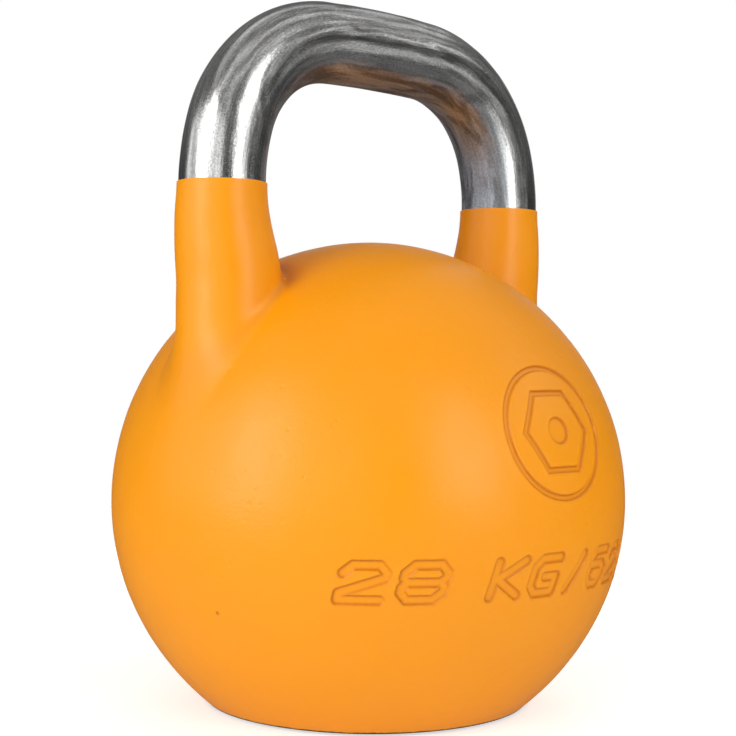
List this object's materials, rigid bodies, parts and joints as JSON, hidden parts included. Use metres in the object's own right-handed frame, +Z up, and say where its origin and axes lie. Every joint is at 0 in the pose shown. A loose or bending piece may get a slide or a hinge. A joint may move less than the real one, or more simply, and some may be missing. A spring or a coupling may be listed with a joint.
{
  "type": "kettlebell",
  "caption": "Ball-shaped weight with two short horns and a bare steel bar handle, a flat foot, and a screwed plug over its fill and trim weights.",
  "frame": {"origin": "on the floor under the middle of the flat foot", "axes": "+Z up, +X across the handle towards the right horn, -Y out of the marked front"},
  "size_m": [0.209, 0.209, 0.282],
  "materials": {
    "orange_coat": "satin",
    "handle_steel": "polished",
    "cast_iron": "matte",
    "weld_metal": "satin",
    "plain_steel": "satin",
    "plug_steel": "satin",
    "set_fill": "matte",
    "black_rubber": "matte"
  },
  "bodies": {
    "bell": {"bell_shell": "cast_iron", "handle_bar": "handle_steel", "handle_weld_left": "weld_metal", "handle_weld_right": "weld_metal", "body_coat": "orange_coat", "ballast_fill": "set_fill", "trim_tube": "plain_steel", "trim_disc_1": "plain_steel", "trim_disc_2": "plain_steel", "trim_disc_3": "plain_steel", "trim_disc_4": "plain_steel", "trim_pad": "black_rubber"},
    "seal": {"plug_seal": "black_rubber"},
    "plug": {"base_plug": "plug_steel"}
  },
  "joints": [
    {"name": "plug_travel", "type": "slide", "parent": "bell", "child": "seal", "axis": [0, 0, -1], "range_m": [0, 0.0151]},
    {"name": "plug_turn", "type": "hinge", "parent": "seal", "child": "plug", "pos_m": [0, 0, 0], "axis": [0, 0, -1], "range_deg": [0, 1800]}
  ],
  "couplings": [
    {"joint": "plug_travel", "follows": "plug_turn", "m_per_rad": 0.00047746}
  ]
}
